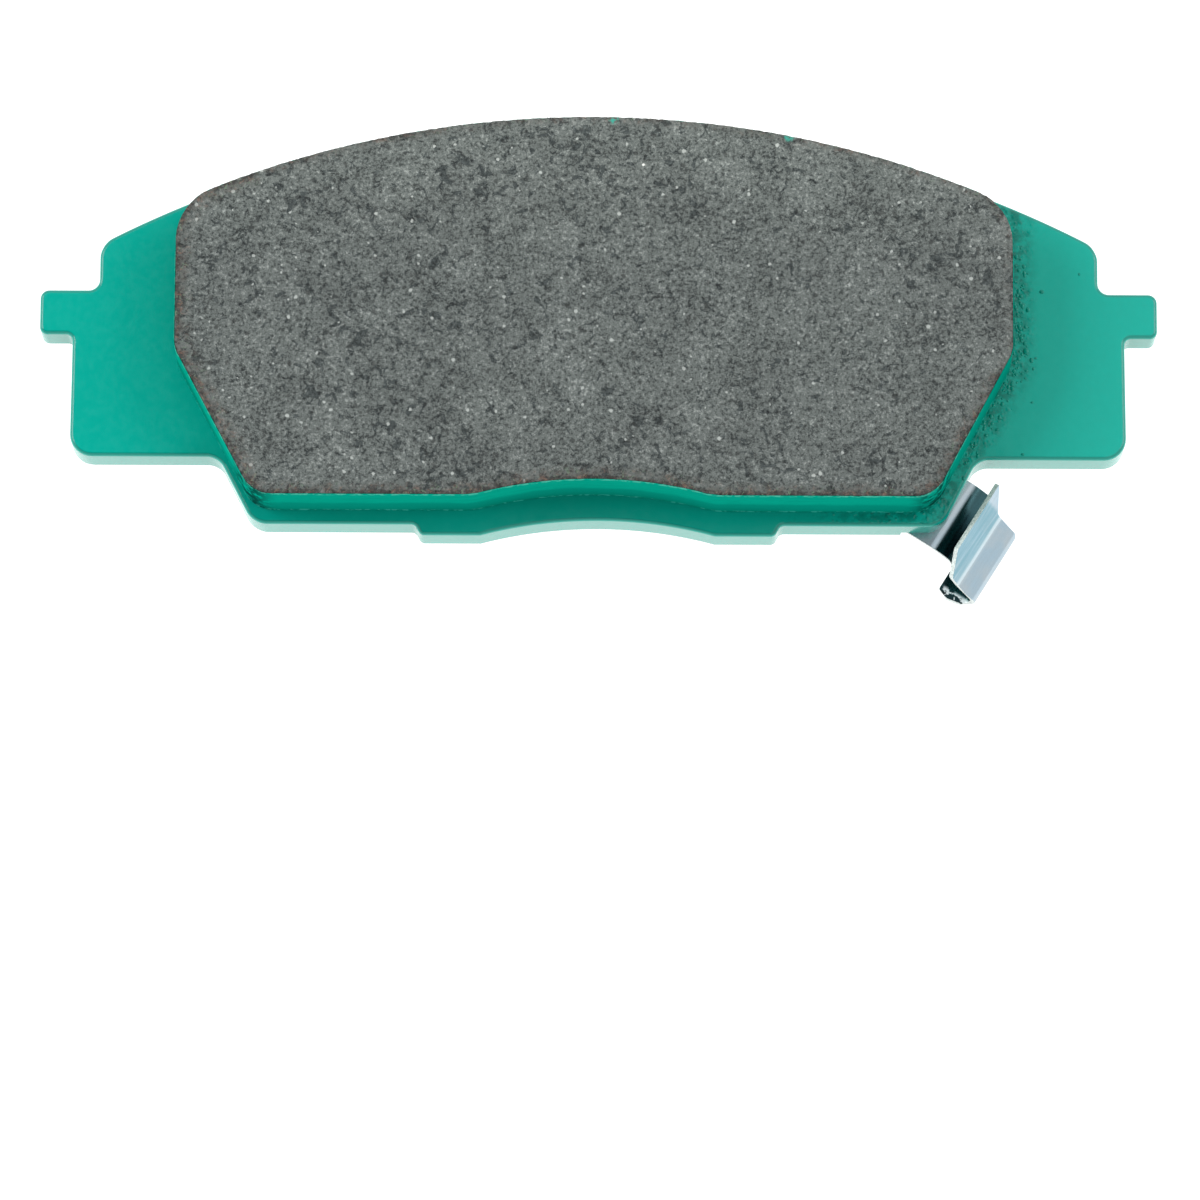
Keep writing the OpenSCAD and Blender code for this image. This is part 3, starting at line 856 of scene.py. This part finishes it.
def make_underlayer(material):
    """The layer under the lining, with a plug pressed down into each keying hole of the plate."""
    plug_play = 0.03
    bm = outline_mesh(lining_points(), FILM_Z)
    raise_face(bm, UNDER_Z - FILM_Z)
    for x, y, r in KEY_HOLES:
        plug = round_tool(x, y, r - plug_play, r - plug_play, UNDER_LOW[2], FILM_Z + 1)
        round_edges(plug, level_edges(plug, UNDER_LOW[2]), 0.35, 4)
        cap = min(plug.faces, key=lambda f: f.calc_center_median().z)
        bmesh.ops.inset_region(plug, faces=[cap], thickness=1.6, depth=0)
        bmesh.ops.inset_region(plug, faces=[cap], thickness=1.4, depth=-0.08)
        bmesh.ops.inset_region(plug, faces=[cap], thickness=1.0, depth=-0.05)
        spare = bpy.data.meshes.new("plug")
        plug.to_mesh(spare)
        plug.free()
        bm.from_mesh(spare)
        bpy.data.meshes.remove(spare)
    return finish_piece(bm, "underlayer_with_plugs", material, "underlayer", 35)


def make_side_paint(material):
    """The coat on the lining's walls, with a ragged upper edge where grinding ended it."""
    stand_off = 0.06
    coat_t = 0.05
    foot_spread = (1.0025, 1.005, 1)
    bm = outline_mesh(lining_points(-stand_off), PLATE_T)
    face = bm.faces[:][0]
    edges = bm.edges[:]
    bmesh.ops.delete(bm, geom=[face], context="FACES_ONLY")
    for edge in edges:
        cuts = int(edge.calc_length() / RELIEF_PITCH)
        if cuts:
            bmesh.ops.subdivide_edges(bm, edges=[edge], cuts=cuts)
    foot = bm.verts[:]
    made = bmesh.ops.extrude_edge_only(bm, edges=bm.edges[:])
    top = [v for v in made["geom"] if isinstance(v, bmesh.types.BMVert)]
    bmesh.ops.scale(bm, vec=foot_spread, space=Matrix.Translation((-LINING_SHIFT, 0, 0)), verts=foot)
    for vert in top:
        tear = noise.noise(Vector((vert.co.x * 1.5, vert.co.y * 1.5, 2.2)))
        chip = noise.noise(Vector((vert.co.x * 0.6, vert.co.y * 0.6, 7.2)))
        ground_off = 0.12 if vert.co.y < 8 else 0.75 + 0.3 * tear
        vert.co.z = FACE_Z - ground_off - 0.12 * max(0.0, tear) - 0.5 * max(0.0, chip - 0.3)
    bmesh.ops.recalc_face_normals(bm, faces=bm.faces)
    sample = max(bm.faces, key=lambda f: f.calc_center_median().x)
    if sample.normal.x < 0:
        bmesh.ops.reverse_faces(bm, faces=bm.faces)
    bmesh.ops.solidify(bm, geom=bm.faces[:], thickness=-coat_t)
    bmesh.ops.recalc_face_normals(bm, faces=bm.faces)
    return finish_piece(bm, "lining_side_paint", material, None, 60, even=False)


def make_paint_beads(material):
    """Beads of paint and grit on the plate's right wing, thickest at the lining's foot, and a few strays."""
    bm = bmesh.new()
    rng = random.Random(11)

    def bead(x, y, size):
        lump = bmesh.ops.create_icosphere(bm, subdivisions=2, radius=size)["verts"]
        squash = Matrix.Translation((x, y, PLATE_T)) @ Matrix.Diagonal((1, rng.uniform(0.7, 1.5), 0.4, 1))
        bmesh.ops.transform(bm, matrix=squash, verts=lump)

    for _ in range(160):
        y = rng.gauss(-3.0, 8.5)
        if not -21 < y < 12:
            continue
        wall = LINING_X - max(0.0, (LINING_TURN[1] - y) * math.tan(LINING_SLANT))
        away = 0.3 + abs(rng.gauss(0, 1.1)) + 0.3 * rng.random()
        bead(wall + away + LINING_SHIFT, y, rng.uniform(0.1, 0.28))
    strays = ((59.2, 5.05, 0.34), (57.0, 0.2, 0.24), (57.05, -3.1, 0.42), (64.2, 7.5, 0.15),
              (57.8, -10.1, 0.2), (56.5, -17.2, 0.24), (56.4, 9.5, 0.2))
    for x, y, size in strays:
        bead(x, y, size)
    return finish_piece(bm, "paint_beads", material, None, 60, even=False)


def strip_path():
    """Middle line of the indicator across its bends, as (u, height, bend radius)."""
    base_z = POCKET_DEEP - STRIP_T / 2
    low_z = STRIP_T / 2
    return [(BASE_U, base_z, 0), (-2.35, base_z, 4), (-0.45, low_z, 0.8), (7.8 - STRIP_T / 2, low_z, 1.15),
            (2.7, 4.4, 1.6), (0.3, 8.0, 0)]


def bend_line(path):
    """Splits a bent line into straight runs and arcs, each with its length, and the length at each corner."""
    parts, corners, total = [], [0.0], 0.0
    here = Vector(path[0][:2])
    for i in range(1, len(path)):
        corner = Vector(path[i][:2])
        ahead = (corner - Vector(path[i - 1][:2])).normalized()
        if i == len(path) - 1:
            parts.append((total, here, ahead, 0.0, (corner - here).length))
            corners.append(total + (corner - here).length)
            break
        onward = (Vector(path[i + 1][:2]) - corner).normalized()
        turn = ahead.angle_signed(onward) * -1
        radius = path[i][2]
        reach = radius * math.tan(abs(turn) / 2)
        run = (corner - here).length - reach
        parts.append((total, here, ahead, 0.0, run))
        total += run
        length = radius * abs(turn)
        parts.append((total, corner - ahead * reach, ahead, math.copysign(1 / radius, turn), length))
        corners.append(total + length / 2)
        total += length
        here = corner + onward * reach
    return parts, corners


def on_line(parts, along):
    """The place and the normal of a point on the bent line, given its distance along the flat strip."""
    start, here, ahead, bend, _ = [p for p in parts if p[0] <= along + 1e-9][-1]
    gone = along - start
    if not bend:
        return here + ahead * gone, Vector((-ahead.y, ahead.x))
    side = Vector((-ahead.y, ahead.x))
    angle = gone * bend
    place = here + ahead * (math.sin(angle) / bend) + side * ((1 - math.cos(angle)) / bend)
    facing = Vector((ahead.x * math.cos(angle) - ahead.y * math.sin(angle),
                     ahead.x * math.sin(angle) + ahead.y * math.cos(angle)))
    return place, Vector((-facing.y, facing.x))


def make_wear_indicator(material, cut_material):
    """A flat blank of strip, cut to outline, then folded along its bends."""
    parts, corner_at = bend_line(strip_path())
    floor_run, outer_bend, wall_run = parts[4], parts[5], parts[6]
    step_at = floor_run[0] + 0.7 - floor_run[1].x
    bend_at = outer_bend[0] + 1.05
    crease_at, tip_at = corner_at[4], corner_at[5]
    rivet_hole_r = RIVET_R + 0.03
    torn_from = 14.0
    base_from = 0.5
    base_to = 10.8
    # distance along the strip, distance down the plate's edge, corner radius
    blank = [
        (0, base_from, 1.6), (step_at, base_from, 0), (step_at, 4.4, 0.5), (bend_at, 4.4, 0.3),
        (wall_run[0] - 0.2, 3.4, 0.6), (crease_at + 1.1, 3.0, 1), (tip_at, 0.0, 0.12), (tip_at, 10.5, 0.3),
        (tip_at - 2.4, 13.8, 0.6), (bend_at, 14.3, 0), (bend_at * 0.7 + step_at * 0.3, 15.25, 1.2),
        (bend_at * 0.3 + step_at * 0.7, 15.45, 1.2), (step_at, 14.8, 0.3), (step_at, base_to, 1.2),
        (0, base_to, 1.6),
    ]
    bm = outline_mesh(blank, -STRIP_T / 2, 5)
    raise_face(bm, STRIP_T)
    rims = level_edges(bm, STRIP_T / 2) + level_edges(bm, -STRIP_T / 2)
    round_edges(bm, rims, 0.06, 2)
    cut_with(bm, [round_tool(RIVET_U - BASE_U, BASE_MIDDLE_V, rivet_hole_r, rivet_hole_r, -1, 1, 48)])
    cuts = []
    for start, _, _, bend, length in parts:
        steps = 10 if bend else 2
        cuts += [start + length * i / steps for i in range(steps)]
    for at in cuts[1:]:
        slice_across(bm, 0, at, 1e-4)
    for at in (4.2, 8, 12, 13.4, 13.8, 14.2, 14.5):
        slice_across(bm, 1, at, 1e-4)
    for face in bm.faces:
        face.material_index = 0 if abs(face.normal.z) > 0.9 else 1
    for vert in bm.verts:
        along, across, height = vert.co
        if across > torn_from:
            across += 0.2 * noise.noise(Vector((along * 2.3, height * 1.5, 4.0)))
        place, normal = on_line(parts, along)
        place = place + normal * height
        vert.co = indicator_point(place.x, across, place.y)
    bmesh.ops.recalc_face_normals(bm, faces=bm.faces)
    piece = finish_piece(bm, "wear_indicator_strip", material, "wear_indicator", 35)
    piece.data.materials.append(cut_material)
    return piece


def make_rivet(material):
    """A turned rivet: a low domed head with a dimple at the back, and a spread end at the front."""
    bm = bmesh.new()
    low = RIVET_LOW[2]
    head_top = low + 0.9
    front = PLATE_T - 0.02
    spread_r = 3.2
    dimple = [(0, low + 0.25), (0.8, low + 0.2), (1.3, low + 0.02), (1.9, low)]
    dome = [(RIVET_HEAD_R - 0.6, low + 0.06), (RIVET_HEAD_R - 0.15, low + 0.3), (RIVET_HEAD_R, low + 0.55),
            (RIVET_HEAD_R, head_top - 0.1), (RIVET_HEAD_R - 0.1, head_top)]
    shank = [(RIVET_R, head_top), (RIVET_R, PLATE_T - 1.2), (spread_r, front), (0, front)]
    profile = dimple + dome + shank
    verts = [bm.verts.new((RIVET_X + r, RIVET_Y, z)) for r, z in profile]
    for a, b in zip(verts, verts[1:]):
        bm.edges.new((a, b))
    bmesh.ops.spin(bm, geom=bm.verts[:] + bm.edges[:], cent=(RIVET_X, RIVET_Y, 0), axis=(0, 0, 1),
                   angle=2 * math.pi, steps=64, use_merge=True)
    bmesh.ops.remove_doubles(bm, verts=bm.verts, dist=1e-4)
    bmesh.ops.recalc_face_normals(bm, faces=bm.faces)
    return finish_piece(bm, "indicator_rivet_turned", material, "indicator_rivet", 40)


# ---------------------------------------------------------------- studio

def make_floor():
    """Paper that glows white, so that the pad casts no shadow on it."""
    bm = bmesh.new()
    bmesh.ops.create_grid(bm, x_segments=1, y_segments=1, size=3)
    bmesh.ops.translate(bm, verts=bm.verts, vec=(0, 0, -0.0001))
    mesh = bpy.data.meshes.new("floor")
    bm.to_mesh(mesh)
    bm.free()
    floor = bpy.data.objects.new("floor", mesh)
    bpy.context.scene.collection.objects.link(floor)
    material, _, shader = new_material("floor_paper", Roughness=0.9)
    shader["Base Color"].default_value = (0.28, 0.28, 0.28, 1)
    shader["Emission Color"].default_value = (1, 1, 1, 1)
    shader["Emission Strength"].default_value = 1.12
    shader["Specular IOR Level"].default_value = 0.0
    mesh.materials.append(material)


def make_world():
    """A white tent with a dark opening overhead and in front, where the camera stands."""
    world = bpy.data.worlds.new("tent")
    world.use_nodes = True
    bpy.context.scene.world = world
    g = Graph(world.node_tree)
    back = world.node_tree.nodes["Background"]
    x, y, z = g.axes(g.node("ShaderNodeTexCoord").outputs["Generated"])[:3]
    height = g.math("MAXIMUM", z, 0.01)
    side = g.math("DIVIDE", x, height)
    front = g.math("DIVIDE", y, height)
    across = g.band(side, -0.95, -0.65, 0.048, 0.070)
    along = g.band(front, -1.0, -0.75, 0.30, 0.42)
    tent_white = (1, 1, 1)
    opening_dark = (0.015, 0.015, 0.015)
    g.put(back.inputs["Color"], g.mix(g.times(across, along), tent_white, opening_dark))
    back.inputs["Strength"].default_value = 1.07


def make_lights():
    """A soft box on each side, the left one stronger, both aimed at the middle of the pad."""
    for name, place, power, size in (
        ("left_softbox", (-1.1, 0.3, 0.9), 14, 0.9),
        ("right_softbox", (1.1, 0.3, 0.9), 8, 0.9),
    ):
        light = bpy.data.lights.new(name, "AREA")
        light.energy = power
        light.size = size
        lamp = bpy.data.objects.new(name, light)
        lamp.location = place
        lamp.rotation_euler = (Vector((0, 0, 0)) - Vector(place)).to_track_quat("-Z", "Y").to_euler()
        bpy.context.scene.collection.objects.link(lamp)


def make_camera():
    """Looks down on the face from a metre away, a little off square and turned by a hair."""
    tilt = math.radians(11.3)
    turn = math.radians(0.26)
    aim = (0.0002, -0.036, 0)
    lens = bpy.data.cameras.new("camera")
    lens.lens = 225
    lens.sensor_width = 36
    lens.clip_end = 20
    camera = bpy.data.objects.new("camera", lens)
    camera.matrix_world = (Matrix.Rotation(turn, 4, "Z")
                           @ Matrix.Translation(aim)
                           @ Matrix.Rotation(tilt, 4, "X")
                           @ Matrix.Translation((0, 0, 1)))
    bpy.context.scene.collection.objects.link(camera)
    bpy.context.scene.camera = camera


bpy.context.scene.view_settings.view_transform = "Standard"
make_camera()
make_floor()
make_world()
make_lights()

make_plate(plate_paint())
make_side_paint(side_paint())
make_paint_beads(grit_paint())
make_friction_block(friction_mix())
make_underlayer(underlayer_mix())
make_wear_indicator(zinc_plate("zinc_strip", (0.43, 0.50, 0.54), SLANT), sheared_edge())
make_rivet(zinc_plate("zinc_rivet", (0.50, 0.53, 0.54), 0))
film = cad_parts["bond_film"]
film.data.materials.clear()
film.data.materials.append(bond_resin())
